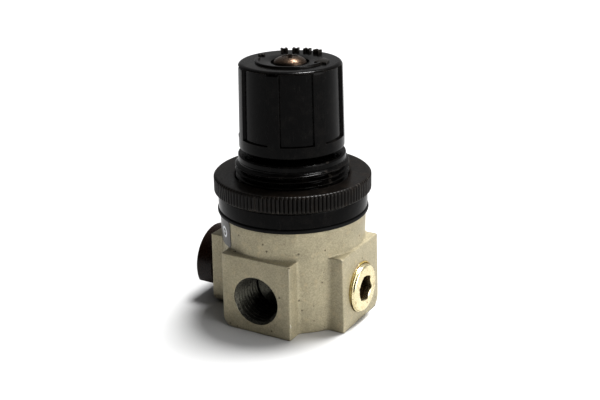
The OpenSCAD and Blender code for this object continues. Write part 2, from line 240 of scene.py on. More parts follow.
def apply_modifiers(obj):
    bpy.context.view_layer.update()
    graph = bpy.context.evaluated_depsgraph_get()
    mesh = bpy.data.meshes.new_from_object(obj.evaluated_get(graph))
    obj.modifiers.clear()
    obj.data = mesh


def join(name, objects, sharp=32):
    """One object holding the meshes of several."""
    bm = bmesh.new()
    for obj in objects:
        bm.from_mesh(obj.data)
        bpy.data.objects.remove(obj)
    mesh = bpy.data.meshes.new(name)
    bm.to_mesh(mesh)
    bm.free()
    obj = add_object(name, mesh)
    tidy_mesh(obj, sharp)
    return obj


def prism(name, points, z0, z1):
    """A straight prism on a convex outline of (x, y) points."""
    return loft(name, [[(x, y, z0) for x, y in points], [(x, y, z1) for x, y in points]])


def regular(sides, across_flats, phase=0.0):
    radius = across_flats / 2 / math.cos(math.pi / sides)
    return [(radius * math.cos(a + phase), radius * math.sin(a + phase)) for a in even_angles(sides)]


def out_along(direction):
    """Matrix that stands a part drawn along +Z on the port axis, pointing out along direction."""
    turn = UP.rotation_difference(Vector(direction)).to_matrix().to_4x4()
    return Matrix.Translation(UP * PORT_Z * MM) @ turn


# ---------------------------------------------------------------- materials

class Nodes:
    """Short way to write a material's node tree. Places are in millimetres of object space."""

    def __init__(self, name):
        self.material = bpy.data.materials.new(name)
        self.material.use_nodes = True
        self.tree = self.material.node_tree
        self.shader = self.tree.nodes["Principled BSDF"]
        coordinate = self.tree.nodes.new("ShaderNodeTexCoord")
        self.place = self.vector_math("MULTIPLY", coordinate.outputs["Object"], (1 / MM,) * 3)

    def add(self, kind, inputs=None, **settings):
        node = self.tree.nodes.new(kind)
        for key, value in settings.items():
            setattr(node, key, value)
        for key, value in (inputs or {}).items():
            self.link(value, node.inputs[key])
        return node

    def link(self, value, socket):
        if isinstance(value, bpy.types.NodeSocket):
            self.tree.links.new(value, socket)
        else:
            socket.default_value = value

    def vector_math(self, operation, a, b):
        return self.add("ShaderNodeVectorMath", {0: a, 1: b}, operation=operation).outputs[0]

    def math(self, operation, a, b=0.0):
        return self.add("ShaderNodeMath", {0: a, 1: b}, operation=operation).outputs[0]

    def distance(self, a, b):
        """Long side of a right triangle whose short sides are a and b."""
        squares = self.math("ADD", self.math("MULTIPLY", a, a), self.math("MULTIPLY", b, b))
        return self.math("SQRT", squares)

    def noise(self, scale, detail=2.0, roughness=0.5, stretch=(1, 1, 1)):
        """Smooth noise with about scale bumps a millimetre."""
        place = self.vector_math("MULTIPLY", self.place, stretch)
        inputs = {"Vector": place, "Scale": scale, "Detail": detail, "Roughness": roughness}
        return self.add("ShaderNodeTexNoise", inputs).outputs["Fac"]

    def cells(self, scale):
        return self.add("ShaderNodeTexVoronoi", {"Vector": self.place, "Scale": scale})

    def spots(self, scale, share, size, core):
        """1 inside a spot in that share of the cells, 0 elsewhere. Size and core are parts of a cell."""
        cells = self.cells(scale)
        pick = self.add("ShaderNodeSeparateColor", {0: cells.outputs["Color"]}).outputs[1]
        round_spot = self.step(cells.outputs["Distance"], size, core)
        return self.math("MULTIPLY", round_spot, self.math("LESS_THAN", pick, share))

    def step(self, value, low, high, out_low=0.0, out_high=1.0):
        """Maps low..high smoothly to out_low..out_high."""
        inputs = {"Value": value, 1: low, 2: high, 3: out_low, 4: out_high}
        return self.add("ShaderNodeMapRange", inputs, interpolation_type="SMOOTHSTEP").outputs[0]

    def mix(self, factor, a, b):
        inputs = {"Factor": factor, 6: a, 7: b}
        return self.add("ShaderNodeMix", inputs, data_type="RGBA").outputs[2]

    def scaled(self, colour, factor):
        """Colour made lighter or darker by a factor that varies over the surface."""
        grey = self.add("ShaderNodeCombineColor", {0: factor, 1: factor, 2: factor}).outputs[0]
        inputs = {"Factor": 1.0, 6: colour, 7: grey}
        return self.add("ShaderNodeMix", inputs, data_type="RGBA", blend_type="MULTIPLY").outputs[2]

    def bump(self, height, distance, under=None):
        """Bump of distance millimetres, laid over the bump under."""
        inputs = {"Height": height, "Distance": distance * MM, "Strength": 1.0}
        node = self.add("ShaderNodeBump", inputs)
        if under is not None:
            self.link(under, node.inputs["Normal"])
        return node.outputs[0]

    def edges(self):
        """1 on sharp outer edges, 0 elsewhere."""
        pointiness = self.add("ShaderNodeNewGeometry").outputs["Pointiness"]
        return self.step(pointiness, 0.525, 0.6)

    def xyz(self):
        node = self.add("ShaderNodeSeparateXYZ", {0: self.place})
        return node.outputs[0], node.outputs[1], node.outputs[2]

    def finish(self, **inputs):
        for key, value in inputs.items():
            self.link(value, self.shader.inputs[key.replace("_", " ")])
        return self.material


def rgb(r, g, b):
    return (r, g, b, 1.0)


def body_paint():
    """Champagne metallic paint on a casting: fine flake, an orange-peel skin, dark pits and worn edges."""
    n = Nodes("body_paint")
    flake = n.cells(4.2).outputs["Color"]
    flake_grey = n.add("ShaderNodeSeparateColor", {0: flake}).outputs[0]
    cloud = n.noise(0.25, 3.0)
    grain = n.noise(2.2, 3.0, 0.6)
    tone = n.math("MULTIPLY", n.step(cloud, 0.3, 0.7, 0.94, 1.05), n.step(grain, 0.3, 0.7, 0.90, 1.08))
    tone = n.math("MULTIPLY", tone, n.step(flake_grey, 0.0, 1.0, 0.90, 1.10))
    base = n.scaled(rgb(0.415, 0.375, 0.268), tone)
    warm = n.mix(n.step(n.noise(0.55, 2.0), 0.55, 0.75, 0.0, 0.35), base, rgb(0.54, 0.45, 0.29))
    spot = n.spots(0.42, share=0.50, size=0.15, core=0.08)
    speck = n.spots(1.15, share=0.42, size=0.16, core=0.08)
    dirty = n.mix(n.math("MULTIPLY", speck, 0.50), warm, rgb(0.12, 0.10, 0.06))
    dirty = n.mix(n.math("MULTIPLY", spot, 0.75), dirty, rgb(0.09, 0.075, 0.045))
    worn = n.math("MULTIPLY", n.edges(), away_from_ports(n))
    colour = n.mix(n.math("MULTIPLY", worn, 0.7), dirty, rgb(0.72, 0.69, 0.60))
    bare = bare_metal_inside(n)
    worked = n.mix(n.step(grain, 0.35, 0.7), rgb(0.10, 0.098, 0.080), rgb(0.19, 0.185, 0.155))
    colour = n.mix(bare, colour, worked)
    skin = n.bump(n.noise(1.3, 2.0, 0.5), 0.035)
    fine = n.bump(n.noise(6.0, 2.0, 0.6), 0.014, under=skin)
    pitted = n.bump(spot, -0.05, under=fine)
    painted_rough = n.step(grain, 0.3, 0.7, 0.40, 0.52)
    rough = n.math("SUBTRACT", painted_rough, n.math("MULTIPLY", bare, 0.14))
    metal = n.step(bare, 0.0, 1.0, 0.35, 0.9)
    return n.finish(Base_Color=colour, Metallic=metal, Roughness=rough, Normal=pitted,
                    Specular_IOR_Level=0.45)


def port_radii(n):
    """Distances from the two lines that the ports are bored on."""
    x, y, z = n.xyz()
    over_port = n.math("SUBTRACT", z, PORT_Z)
    return [n.distance(across, over_port) for across in (x, y)]


def away_from_ports(n):
    """0 on the flat faces round the ports, 1 elsewhere."""
    return n.math("MINIMUM", *[n.step(radius, PORT_R + 2.9, PORT_R + 3.5) for radius in port_radii(n)])


def bare_metal_inside(n):
    """1 on the machined walls of the ports and the main bore, 0 on the painted outside."""
    x, y, z = n.xyz()
    wall = [n.step(radius, PORT_R + 0.01, PORT_R - 0.04) for radius in port_radii(n)]
    inside_main_bore = n.step(n.distance(x, y), MAIN_BORE_R + 0.1, MAIN_BORE_R + 0.02)
    main_bore = n.math("MULTIPLY", inside_main_bore, n.step(z, 0.02, 0.06))
    return n.math("MAXIMUM", n.math("MAXIMUM", *wall), main_bore)


def black_plastic(name, base, rough, wear=0.5, tint=(0.10, 0.085, 0.07), peel=0.010, shine=0.22):
    """Moulded black plastic with scuffs, dust in patches and lighter rubbed edges."""
    n = Nodes(name)
    scuffs = n.step(n.noise(1.6, 4.0, 0.65, (1, 1, 0.35)), 0.55, 0.72)
    dust = n.step(n.noise(0.35, 3.0, 0.6), 0.45, 0.75)
    colour = n.mix(n.math("MULTIPLY", dust, 0.10 * wear), rgb(*base), rgb(*tint))
    colour = n.mix(n.math("MULTIPLY", scuffs, 0.12 * wear), colour, rgb(0.12, 0.11, 0.10))
    colour = n.mix(n.math("MULTIPLY", n.edges(), 0.30 * wear), colour, rgb(0.16, 0.14, 0.12))
    low, high = rough
    mottle = n.step(n.noise(2.4, 3.0), 0.3, 0.7, low, high)
    roughness = n.math("ADD", mottle, n.math("MULTIPLY", scuffs, 0.08))
    skin = n.bump(n.noise(2.0, 2.0), peel)
    fine = n.bump(n.noise(12.0, 1.0), peel * 0.4, under=skin)
    return n.finish(Base_Color=colour, Roughness=roughness, Normal=fine, Specular_IOR_Level=shine)


def turned_metal(name, base, dark, rough=(0.18, 0.32), axis="X", tarnish=0.4):
    """Turned metal: rings from the tool and patches of tarnish."""
    n = Nodes(name)
    x, y, z = n.xyz()
    across = {"X": (y, z), "Z": (x, y)}[axis]
    centre = PORT_Z if axis == "X" else 0.0
    radius = n.distance(across[0], n.math("SUBTRACT", across[1], centre))
    rings = n.math("SINE", n.math("MULTIPLY", radius, 42.0))
    patches = n.step(n.noise(0.8, 4.0, 0.6), 0.48, 0.70)
    specks = n.step(n.noise(5.0, 2.0, 0.6), 0.62, 0.75)
    speckled = n.math("MULTIPLY", specks, tarnish * 0.6)
    stain = n.math("MAXIMUM", n.math("MULTIPLY", patches, tarnish), speckled)
    colour = n.mix(stain, rgb(*base), rgb(*dark))
    if axis == "X":
        # Deeper in the plug's socket the colour is darker and browner.
        colour = n.mix(darker_deep_in_socket(n, x, radius), colour, rgb(0.09, 0.055, 0.022))
    roughness = n.math("ADD", n.step(n.noise(3.0), 0.3, 0.7, *rough), n.math("MULTIPLY", stain, 0.25))
    lines = n.bump(rings, 0.004)
    marks = n.bump(n.noise(3.0, 3.0), 0.012, under=lines)
    return n.finish(Base_Color=colour, Metallic=0.95, Roughness=roughness, Normal=marks)


def darker_deep_in_socket(n, x, radius):
    """1 deep inside the plug's socket, 0 on its face: the colour is made darker there."""
    deep = n.step(x, plug_high.x - 0.25, plug_high.x - 2.0, 0.0, 0.85)
    return n.math("MULTIPLY", deep, n.step(radius, 4.2, 4.0))


def sealant_paint():
    """Dried yellow thread sealant, glossy in places."""
    n = Nodes("sealant")
    patches = n.noise(1.4, 3.0, 0.6)
    colour = n.mix(n.step(patches, 0.4, 0.62), rgb(0.34, 0.28, 0.10), rgb(0.26, 0.16, 0.03))
    lumps = n.bump(n.noise(3.0, 3.0), 0.10)
    return n.finish(Base_Color=colour, Roughness=n.step(patches, 0.3, 0.7, 0.22, 0.5), Normal=lumps,
                    Specular_IOR_Level=0.6)


def label_foil():
    """Silver foil with a fine grain, and a printed plain ring with a dot, a generic flow symbol."""
    n = Nodes("label_foil")
    x, y, z = n.xyz()
    angle = n.math("ARCTAN2", x, n.math("MULTIPLY", y, -1.0))
    arc = n.math("MULTIPLY", angle, BODY_TOP_R)
    mark_at = -BODY_TOP_R * math.radians(38.3)
    along = n.math("SUBTRACT", arc, mark_at)
    high = n.math("SUBTRACT", z, (label_low.z + label_high.z) / 2)
    distance = n.distance(along, high)
    outer = n.math("MULTIPLY", n.step(distance, 0.92, 1.0), n.step(distance, 1.6, 1.52))
    dot = n.step(distance, 0.4, 0.32)
    mark = n.math("MAXIMUM", outer, dot)
    grain = n.noise(1.0, 3.0, 0.6, (2.0, 2.0, 12.0))
    wear = n.step(n.noise(1.1, 4.0, 0.6), 0.55, 0.75)
    grey = n.scaled(rgb(0.10, 0.097, 0.092), n.step(grain, 0.3, 0.7, 0.85, 1.1))
    foil = n.mix(n.math("MULTIPLY", wear, 0.5), grey, rgb(0.08, 0.08, 0.075))
    colour = n.mix(mark, foil, rgb(0.85, 0.86, 0.88))
    metal = n.step(mark, 0.0, 1.0, 0.75, 0.0)
    rough = n.step(wear, 0.0, 1.0, 0.34, 0.5)
    return n.finish(Base_Color=colour, Metallic=metal, Roughness=rough, Normal=n.bump(grain, 0.004))


def rubber():
    n = Nodes("black_rubber")
    bloom = n.step(n.noise(0.9, 4.0, 0.6), 0.45, 0.75)
    colour = n.mix(n.math("MULTIPLY", bloom, 0.25), rgb(0.003, 0.003, 0.003), rgb(0.010, 0.010, 0.010))
    skin = n.bump(n.noise(5.0, 3.0), 0.02)
    return n.finish(Base_Color=colour, Roughness=n.step(bloom, 0.0, 1.0, 0.5, 0.7), Normal=skin,
                    Specular_IOR_Level=0.2)


def white_plastic():
    n = Nodes("white_plastic")
    tone = n.step(n.noise(0.8, 3.0), 0.3, 0.7, 0.92, 1.05)
    colour = n.scaled(rgb(0.72, 0.70, 0.64), tone)
    rough = n.step(n.noise(4.0), 0.3, 0.7, 0.4, 0.55)
    return n.finish(Base_Color=colour, Roughness=rough, Normal=n.bump(n.noise(6.0), 0.01))


MATERIALS = {
    "body_paint": body_paint(),
    "black_plastic": black_plastic("black_plastic", (0.0012, 0.0010, 0.0010), (0.16, 0.24), shine=0.12),
    "ring_plastic": black_plastic("ring_plastic", (0.005, 0.0036, 0.0026), (0.30, 0.42), 0.9,
                                  (0.10, 0.06, 0.035)),
    "black_cap_plastic": black_plastic("black_cap_plastic", (0.012, 0.0045, 0.0022), (0.22, 0.34), 0.6,
                                       (0.09, 0.04, 0.02)),
    "plug_brass": turned_metal("plug_brass", (0.84, 0.76, 0.52), (0.30, 0.20, 0.08)),
    "brass": turned_metal("brass", (0.72, 0.52, 0.24), (0.30, 0.18, 0.07), axis="Z"),
    "zinc_steel": turned_metal("zinc_steel", (0.60, 0.60, 0.61), (0.35, 0.33, 0.28), axis="Z", tarnish=0.3),
    "spring_steel": turned_metal("spring_steel", (0.38, 0.38, 0.39), (0.18, 0.16, 0.13), axis="Z"),
    "bronzed_steel": turned_metal("bronzed_steel", (0.10, 0.07, 0.05), (0.035, 0.02, 0.012), (0.2, 0.36),
                                  "Z", 0.7),
    "black_rubber": rubber(),
    "label_foil": label_foil(),
    "sealant": sealant_paint(),
    "white_plastic": white_plastic(),
}
SLOT_OF = {s["node"]: s["material_slot"] for s in frame["record"]["subparts"]}
BODY_OF = {node: body for body, nodes in frame["record"]["behaviour"]["bodies"].items() for node in nodes}


def dress(obj, slot_name):
    obj.data.materials.clear()
    obj.data.materials.append(MATERIALS[slot_name])
    return obj


def place(obj, node):
    """Gives a detailed piece the material and the body of the CAD node that it stands for."""
    dress(obj, SLOT_OF[node])
    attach(obj, BODY_OF[node])
    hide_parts(node)
    return obj


# ---------------------------------------------------------------- body

def arc_points(centre, radius, start, end, steps):
    return [(centre[0] + radius * math.cos(start + (end - start) * k / steps),
             centre[1] + radius * math.sin(start + (end - start) * k / steps)) for k in range(steps + 1)]


def body_outline(z, grow=0.0):
    """Plan outline of the cast body below the boss tops, with soft corners, as a closed list of (x, y)."""
    radius = body_radius(z) + grow
    depth = FACE + BOSS_DRAFT * (1 - z / BOSS_TOP) + grow
    edge = 0.35
    root = 0.9
    corner = FOOT_CORNER_R
    cut_in = corner - math.sqrt(corner ** 2 - (corner - min(max(z, 0.0), corner)) ** 2)
    points = []
    for index in range(4):
        turn = index * math.pi / 2
        left = BOSS_HALF + grow - (cut_in if index % 2 == 0 else 0.0)
        right = BOSS_HALF + grow - (cut_in if index % 2 == 1 else 0.0)
        next_left = BOSS_HALF + grow - (cut_in if index % 2 == 1 else 0.0)
        left_foot = -math.sqrt(radius ** 2 - left ** 2)
        right_foot = -math.sqrt(radius ** 2 - right ** 2)
        start = math.asin(left / radius)
        stop = math.asin(right / radius)
        half = root / radius
        local = []
        on_arc = (-radius * math.sin(start + half), -radius * math.cos(start + half))
        on_wall = (-left, left_foot - root)
        local += bezier(on_arc, (-left, left_foot), on_wall, 5)
        local += arc_points((-left + edge, -depth + edge), edge, math.pi, 1.5 * math.pi, 4)
        local += [(-left + edge + (left + right - 2 * edge) * k / 12, -depth) for k in range(1, 12)]
        local += arc_points((right - edge, -depth + edge), edge, 1.5 * math.pi, 2 * math.pi, 4)
        wall_end = (right, right_foot - root)
        arc_start = (radius * math.sin(stop + half), -radius * math.cos(stop + half))
        local += bezier(wall_end, (right, right_foot), arc_start, 5)
        first = -math.pi / 2 + stop + half
        last = -math.asin(next_left / radius) - half
        local += arc_points((0, 0), radius, first, last, 12)[1:-1]
        c, s = math.cos(turn), math.sin(turn)
        points += [(x * c - y * s, x * s + y * c) for x, y in local]
    return points


def bezier(a, b, c, steps):
    return [tuple(a[i] * (1 - t) ** 2 + 2 * b[i] * t * (1 - t) + c[i] * t * t for i in (0, 1))
            for t in [k / steps for k in range(steps + 1)]]


def ring_at(outline, z, limit=None, shrink=0.0):
    """The outline at height z, drawn in by shrink and held inside radius limit."""
    ring = []
    for x, y in outline:
        r = math.hypot(x, y)
        wanted = r - shrink
        if limit is not None:
            wanted = min(r, limit)
        ring.append((x * wanted / r, y * wanted / r, z))
    return ring


def arc_steps(size, count=4):
    """Pairs of (height left, inset) round a quarter circle of that size, from the side up to the top."""
    return [(size * (1 - math.sin(a)), size * (1 - math.cos(a)))
            for a in [math.pi / 2 * k / count for k in range(count + 1)]]


def cast_shell():
    foot, lip, root = 0.45, 0.35, 0.5
    rings = []
    for left, inset in reversed(arc_steps(foot)):
        rings.append(ring_at(body_outline(left), left, shrink=inset))
    for z in (0.8, 1.2, 1.6, 2.0, 2.4, 2.8, 3.2, 5.0, 8.0, 12.0, 16.0):
        rings.append(ring_at(body_outline(z), z))
    top_outline = body_outline(BOSS_TOP)
    for left, inset in arc_steps(lip):
        z = BOSS_TOP - left
        held = []
        for x, y in top_outline:
            r = math.hypot(x, y)
            wanted = max(min(r, body_radius(z)), r - inset)
            held.append((x * wanted / r, y * wanted / r, z))
        rings.append(held)
    for k in range(5):
        rise = root * k / 4
        z = BOSS_TOP + root * (1 - math.sqrt(1 - (k / 4) ** 2))
        rings.append(ring_at(top_outline, z, limit=body_radius(z) + root - rise))
    for z in (22.5, 24.5, 26.5):
        rings.append(ring_at(top_outline, z, limit=body_radius(z)))
    for left, inset in arc_steps(0.25):
        z = BODY_TOP - left
        rings.append(ring_at(top_outline, z, limit=body_radius(z) - inset))
    return loft("body_casting", rings)


def thread_wave(t):
    """Height of a thread's profile from root to crest, 0 to 1, over one turn."""
    t = t % 1.0
    return min(1.0, max(0.0, 1.3 * (1 - abs(2 * t - 1)) - 0.15))


def port_cutter(name, plain_r=None):
    """Cutter of one port, drawn along +Z from the body's axis outwards: threaded, or plain at plain_r."""
    inner = FACE - PORT_DEPTH
    mouth = FACE + BOSS_DRAFT
    face_z = FACE + BOSS_DRAFT * (1 - PORT_Z / BOSS_TOP)
    if plain_r:
        return plain_solid(name, [(plain_r, inner), (plain_r, mouth + 1)], 96)
    rows = [(PORT_MINOR_R - 2.4, inner - 1.2), (PORT_MINOR_R - 0.3, inner)]
    count = int((face_z - inner) / (PORT_PITCH / 12))
    rows += [(PORT_MINOR_R, inner + (face_z - inner) * k / count) for k in range(1, count)]
    rows += [(PORT_R, face_z), (PORT_R + 0.1, mouth + 2)]

    def shape(r, z, a):
        if r != PORT_MINOR_R:
            return r
        deep = (PORT_R - 0.05 - PORT_MINOR_R) * thread_wave(z / PORT_PITCH - a / (2 * math.pi))
        deep *= smoothstep(z, inner + 0.3, inner + 1.6)
        funnel = PORT_R - (face_z - z) * PORT_CHAMFER_SLOPE
        return max(r + deep, funnel)

    return lathe(name, rows, even_angles(120), shape, closed=False, sharp=50)


def bore_cutter(name, steps):
    """Cutter of coaxial bores: (radius, low, high) from the bottom up."""
    profile = []
    for r, low, high in steps:
        profile += [(r, low), (r, high)]
    return plain_solid(name, profile, 96)


def make_body():
    shell = cast_shell()
    bores = bore_cutter("bores", [
        (BOTTOM_CAP_R + 0.05, -1, BOTTOM_CAP_TOP), (5.5, BOTTOM_CAP_TOP, 11), (5.0, 11, 13),
        (3.2, 13, CHAMBER_FLOOR), (14.0, CHAMBER_FLOOR, BONNET_SEAT), (MAIN_BORE_R, BONNET_SEAT, 30)])
    cutters = [bores]
    ports = (((0, -1, 0), None), ((0, 1, 0), None), ((1, 0, 0), PORT_R), ((-1, 0, 0), PORT_R))
    for direction, plain_r in ports:
        cutters.append(turned(port_cutter("port", plain_r), out_along(direction)))
    inlet = plain_solid("inlet", [(2.6, 0), (2.6, 10)])
    cutters.append(turned(inlet, Matrix.Translation(Vector((0, 0, -1.3 * MM))) @ out_along((0, -1, 0))))
    for x, y, r in ((0, 11.3, 2.2), (11.3, 0, 1.5), (-11.3, 0, 1.5)):
        riser = plain_solid("riser", [(r, PORT_Z), (r, CHAMBER_FLOOR + 0.1)])
        cutters.append(turned(riser, Matrix.Translation(Vector((x, y, 0)) * MM)))
    cutters += chips()
    return cut(shell, cutters)


def chips():
    """Small dents knocked out of the bosses' edges."""
    rng = random.Random(7)
    corner = (BOSS_HALF - 0.1, -FACE - 0.05, BOSS_TOP - 0.15)
    spots = [
        (corner, (0.55, 0.35, 0.45)),
        ((BOSS_HALF - 0.75, -FACE - 0.1, BOSS_TOP - 1.0), (0.28, 0.22, 0.75)),
        ((FACE + 0.05, -BOSS_HALF + 0.4, BOSS_TOP), (0.3, 0.6, 0.25)),
        ((BOSS_HALF + 0.05, -FACE - 0.2, 4.2), (0.22, 0.25, 0.5)),
        ((-FACE - 0.1, BOSS_HALF - 0.6, BOSS_TOP), (0.35, 0.5, 0.25)),
    ]
    dents = []
    for centre, size in spots:
        bm = bmesh.new()
        bmesh.ops.create_icosphere(bm, subdivisions=2, radius=1.0)
        for v in bm.verts:
            v.co *= 1 + rng.uniform(-0.12, 0.12)
            v.co = Vector([v.co[i] * size[i] + centre[i] for i in range(3)]) * MM
        mesh = bpy.data.meshes.new("dent")
        bm.to_mesh(mesh)
        bm.free()
        dents.append(add_object("dent", mesh))
    return dents


# ---------------------------------------------------------------- fittings on the body

def make_plug():
    """Brass plug: a flat ring of a face, a broad chamfer, the start of its thread, and a hexagon socket."""
    inner = plug_low.x
    outer = plug_high.x
    face_r = 5.85
    thread_top = outer - 0.75
    start = FACE - 0.9
    shank_r = PORT_R - 0.03
    core_r = PORT_MINOR_R - 0.1
    rows = [(1.0, inner), (PORT_R - 1.0, inner), (core_r, inner + 0.5), (core_r, start - 0.1)]
    rows += [(shank_r, start + (thread_top - start) * k / 22) for k in range(23)]
    rows += [(face_r + 0.52, thread_top + 0.10), (face_r + 0.48, outer - 0.42),
             (face_r + 0.30, outer - 0.16), (face_r + 0.12, outer - 0.03), (face_r, outer), (1.0, outer)]

    def shape(r, z, a):
        if r != shank_r:
            return r
        groove = 1 - thread_wave((z - thread_top) / PORT_PITCH - a / (2 * math.pi) + 0.35)
        return r - 0.35 * groove * smoothstep(z, thread_top + 0.05, thread_top - 0.12)

    plug = lathe("socket_plug", rows, even_angles(120), shape, closed=False, sharp=40)
    end = outer - SOCKET_DEPTH
    socket = prism("socket", regular(6, SOCKET_WIDTH, math.radians(15)), end, outer + 1)
    lead = plain_solid("lead", [(2.9, outer - 0.6), (4.3, outer + 0.8)], 64)
    drill = plain_solid("drill", [(0.2, end - 0.9), (2.6, end + 0.02)])
    cut(plug, [socket, lead, drill], 40)
    return turned(plug, out_along((1, 0, 0)))


def make_sealant():
    """Lumpy bead of sealant squeezed out round part of the plug."""
    rng = random.Random(3)
    port_face = FACE + BOSS_DRAFT * (1 - PORT_Z / BOSS_TOP)
    low_x = port_face + 0.02
    count, around = 72, 8
    start, sweep = math.radians(112), math.radians(186)
    verts, faces = [], []
    waves = [(rng.uniform(0, 6.3), k, rng.uniform(0.4, 1.0) / k ** 0.5) for k in (3, 5, 9, 14, 23)]
    for i in range(count + 1):
        t = i / count
        a = start + sweep * t
        lump = sum(w * math.sin(p + k * a) for p, k, w in waves) / 3
        taper = min(1.0, 5 * t, 5 * (1 - t))
        width = (0.46 + 0.26 * lump) * taper + 0.05
        tall = (0.40 + 0.16 * lump) * taper + 0.03
        for j in range(around):
            b = math.pi * j / (around - 1)
            r = PORT_R + width * (1 - math.cos(b)) / 2
            verts.append((r * math.cos(a), r * math.sin(a), low_x + min(0.53, tall * math.sin(b))))
    for i in range(count):
        for j in range(around):
            k = (j + 1) % around
            faces.append((i * around + j, i * around + k, (i + 1) * around + k, (i + 1) * around + j))
    faces.append(tuple(range(around)))
    faces.append(tuple(reversed(range(count * around, (count + 1) * around))))
    bead = make_object("sealant_bead", verts, faces, 60)
    turned(bead, out_along((1, 0, 0)))
    hinge = Matrix.Translation(Vector((port_face * MM, 0, PORT_Z * MM)))
    lean = Matrix.Rotation(-math.atan(BOSS_DRAFT / BOSS_TOP), 4, "Y")
    return turned(bead, hinge @ lean @ hinge.inverted())


def make_port_cap():
    """Smooth cap in the -X port: a slightly domed end, and one flat turned down and a little forward."""
    start = -cap_high.x
    outer = -cap_low.x
    base_r = cap_high.y - 0.02
    end_r = base_r - 0.15
    shank_r = PORT_R - 0.05
    base = FACE + 0.8
    round_r = 0.45
    dome = 0.3
    top = outer - dome
    rows = [(1.0, start), (shank_r - 0.5, start), (shank_r, start + 0.5), (shank_r, base),
            (base_r - 0.6, base), (base_r - 0.15, base), (base_r, base + 0.15)]
    rows += [(base_r + (end_r - base_r) * k / 10, base + 0.15 + (top - round_r - base - 0.15) * k / 10)
             for k in range(1, 10)]
    rows += [(end_r - round_r * (1 - math.cos(a)), top - round_r + round_r * math.sin(a))
             for a in [math.pi / 2 * k / 6 for k in range(7)]]
    inner = end_r - round_r
    rows += [(inner * (1 - k / 8), top + dome * math.sin(math.pi / 2 * k / 8)) for k in range(1, 8)]
    corner = math.acos(CAP_FLAT / base_r)
    near_corner = [corner + math.radians(d) for d in (-3, -2, -1.2, -0.6, 0, 0.6, 1.2, 2)]
    corners = {side * a for side in (-1, 1) for a in near_corner}
    local = sorted(corners | {a - math.pi for a in even_angles(120)})

    def shape(r, z, a):
        along = math.cos(a)
        if z < base or along <= 0:
            return r
        rounding = max(0.0, end_r - r) if z > top - round_r - 0.01 else 0.0
        return min(r, soft_min(r, (CAP_FLAT + 0.02 - min(rounding, round_r)) / along))

    cap = lathe("end_cap", rows, local, shape, closed=False, sharp=40)
    turned(cap, Matrix.Rotation(CAP_FLAT_TURN, 4, "Z"))
    return turned(cap, out_along((-1, 0, 0)))


def soft_min(a, b, soft=0.25):
    """The smaller of two values, blended where they are within soft of each other."""
    h = min(1.0, max(0.0, 0.5 + 0.5 * (b - a) / soft))
    return b * (1 - h) + a * h - soft * h * (1 - h)


def make_label():
    """Thin foil label with rounded corners, wrapped round the upper body."""
    low, high = label_low.z, label_high.z
    start, stop = math.radians(118), math.radians(242)
    thick = 0.11
    columns, rows_count, corner = 96, 16, 0.9
    grid = []
    for i in range(columns + 1):
        a = start + (stop - start) * i / columns
        arc = BODY_TOP_R * min(a - start, stop - a)
        inset = corner - math.sqrt(max(0.0, corner ** 2 - (corner - arc) ** 2)) if arc < corner else 0.0
        column = []
        for j in range(rows_count + 1):
            z = low + inset + (high - low - 2 * inset) * j / rows_count
            column.append((a, z))
        grid.append(column)
    verts, faces = [], []
    for layer in (0.02, thick):
        for column in grid:
            for a, z in column:
                r = body_radius(z) + layer
                verts.append((r * math.cos(a), r * math.sin(a), z))
    n, layer_size = rows_count + 1, (columns + 1) * (rows_count + 1)
    for i in range(columns):
        for j in range(rows_count):
            a, b = i * n + j, (i + 1) * n + j
            faces.append((a, a + 1, b + 1, b))
            faces.append((layer_size + a, layer_size + b, layer_size + b + 1, layer_size + a + 1))
    edge = [i * n for i in range(columns)] + [columns * n + j for j in range(rows_count)]
    edge += [i * n + rows_count for i in range(columns, 0, -1)] + list(range(rows_count, 0, -1))
    for k, here in enumerate(edge):
        there = edge[(k + 1) % len(edge)]
        faces.append((here, there, layer_size + there, layer_size + here))
    return make_object("foil_label", verts, faces, 45)


def make_bottom_cap():
    """Screwed cap in the underside with two spanner holes."""
    top = bottom_high.z
    rim_r, rim_top, web_top = BOTTOM_CAP_R, BOTTOM_CAP_TOP, 2.0
    profile = rounded([
        (0.6, web_top, 0), (0.6, 0.02, 0), (rim_r, 0.02, 0.35), (rim_r, rim_top), (4.2, rim_top),
        (4.2, web_top), (2.4, web_top), (2.4, top), (1.25, top), (1.25, web_top, 0)], 0.15)
    cap = lathe("spanner_cap", profile, even_angles(96))
    plate = plain_solid("plate", [(1.3, 0.02), (1.3, 1.0)])
    holes = []
    for side in (-1, 1):
        hole = plain_solid("hole", [(0.9, -1), (0.9, 1.3), (0.2, 1.7)])
        holes.append(turned(hole, Matrix.Translation(Vector((5.6 * side, 0, 0)) * MM)))
    cut(cap, holes)
    return join("spanner_cap", [cap, plate])


# ---------------------------------------------------------------- bonnet, ring nut

def make_gasket():
    r = gasket_high.x
    low, high = gasket_low.z, gasket_high.z
    inner = MAIN_BORE_R + 0.1
    outline = [(inner, low + 0.02), (r, low + 0.02), (r, high - 0.02), (inner, high - 0.02)]
    return lathe("gasket_ring", rounded(outline, 0.4, 5), even_angles(160))


